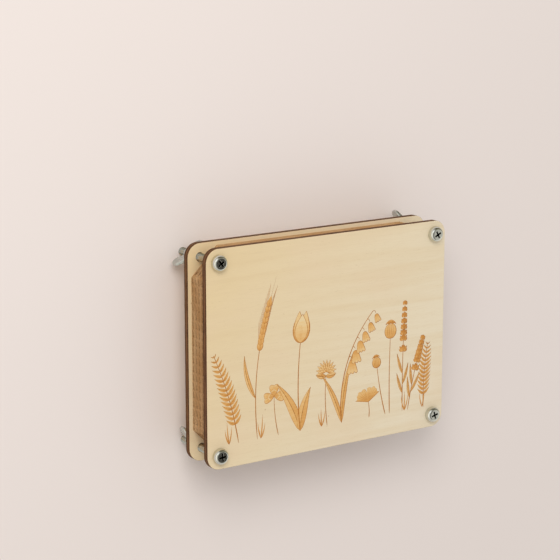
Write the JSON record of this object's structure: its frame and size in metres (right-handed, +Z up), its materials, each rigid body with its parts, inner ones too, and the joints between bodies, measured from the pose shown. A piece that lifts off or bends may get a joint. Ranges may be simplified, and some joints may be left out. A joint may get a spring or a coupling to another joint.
{
  "type": "flower press",
  "caption": "Flower press: two plywood boards drawn together by corner screws and wing nuts over a pack of corrugated cards and blotting papers.",
  "frame": {"origin": "on the table under the middle of the boards, level with the free ends of the four screws that the press stands on", "axes": "+X along the boards' 210 mm length, +Y along their 160 mm width towards the top of the decorated board, +Z up, out of the decorated board"},
  "size_m": [0.215, 0.1658, 0.0546],
  "materials": {
    "plywood_front": "matte",
    "plywood_back": "matte",
    "zinc_screw": "polished",
    "zinc_washer": "satin",
    "zinc_nut": "satin",
    "kraft_card": "matte",
    "blotting_paper": "matte"
  },
  "bodies": {
    "back": {"back_board": "plywood_back", "washer_1": "zinc_washer", "washer_2": "zinc_washer", "washer_3": "zinc_washer", "washer_4": "zinc_washer", "card_5": "kraft_card", "blotting_paper_8": "blotting_paper"},
    "front": {"front_board": "plywood_front", "bolt_1": "zinc_screw", "bolt_2": "zinc_screw", "bolt_3": "zinc_screw", "bolt_4": "zinc_screw"},
    "leaf_1": {"card_1": "kraft_card", "blotting_paper_1": "blotting_paper"},
    "leaf_2": {"blotting_paper_2": "blotting_paper", "card_2": "kraft_card", "blotting_paper_3": "blotting_paper"},
    "leaf_3": {"blotting_paper_4": "blotting_paper", "card_3": "kraft_card", "blotting_paper_5": "blotting_paper"},
    "leaf_4": {"blotting_paper_6": "blotting_paper", "card_4": "kraft_card", "blotting_paper_7": "blotting_paper"},
    "nut_1": {"wing_nut_1": "zinc_nut"},
    "nut_2": {"wing_nut_2": "zinc_nut"},
    "nut_3": {"wing_nut_3": "zinc_nut"},
    "nut_4": {"wing_nut_4": "zinc_nut"}
  },
  "joints": [
    {"name": "front_slide", "type": "slide", "parent": "back", "child": "front", "axis": [0, 0, 1], "range_m": [0, 0.01]},
    {"name": "nut_1_turn", "type": "hinge", "parent": "back", "child": "nut_1", "pos_m": [-0.095, 0.07, 0.0186], "axis": [0, 0, -1], "range_deg": [0, 3600]},
    {"name": "nut_2_turn", "type": "hinge", "parent": "back", "child": "nut_2", "pos_m": [0.095, 0.07, 0.0186], "axis": [0, 0, -1], "range_deg": [0, 3600]},
    {"name": "nut_3_turn", "type": "hinge", "parent": "back", "child": "nut_3", "pos_m": [-0.095, -0.07, 0.0186], "axis": [0, 0, -1], "range_deg": [0, 3600]},
    {"name": "nut_4_turn", "type": "hinge", "parent": "back", "child": "nut_4", "pos_m": [0.095, -0.07, 0.0186], "axis": [0, 0, -1], "range_deg": [0, 3600]},
    {"name": "leaf_1_slide", "type": "slide", "parent": "back", "child": "leaf_1", "axis": [0, 0, 1], "range_m": [0, 0.008]},
    {"name": "leaf_2_slide", "type": "slide", "parent": "back", "child": "leaf_2", "axis": [0, 0, 1], "range_m": [0, 0.006]},
    {"name": "leaf_3_slide", "type": "slide", "parent": "back", "child": "leaf_3", "axis": [0, 0, 1], "range_m": [0, 0.004]},
    {"name": "leaf_4_slide", "type": "slide", "parent": "back", "child": "leaf_4", "axis": [0, 0, 1], "range_m": [0, 0.002]}
  ],
  "couplings": [
    {"joint": "nut_1_turn", "follows": "front_slide", "rad_per_m": 6283.2},
    {"joint": "nut_2_turn", "follows": "front_slide", "rad_per_m": 6283.2},
    {"joint": "nut_3_turn", "follows": "front_slide", "rad_per_m": 6283.2},
    {"joint": "nut_4_turn", "follows": "front_slide", "rad_per_m": 6283.2},
    {"joint": "leaf_1_slide", "follows": "front_slide", "ratio": 0.8},
    {"joint": "leaf_2_slide", "follows": "front_slide", "ratio": 0.6},
    {"joint": "leaf_3_slide", "follows": "front_slide", "ratio": 0.4},
    {"joint": "leaf_4_slide", "follows": "front_slide", "ratio": 0.2}
  ]
}
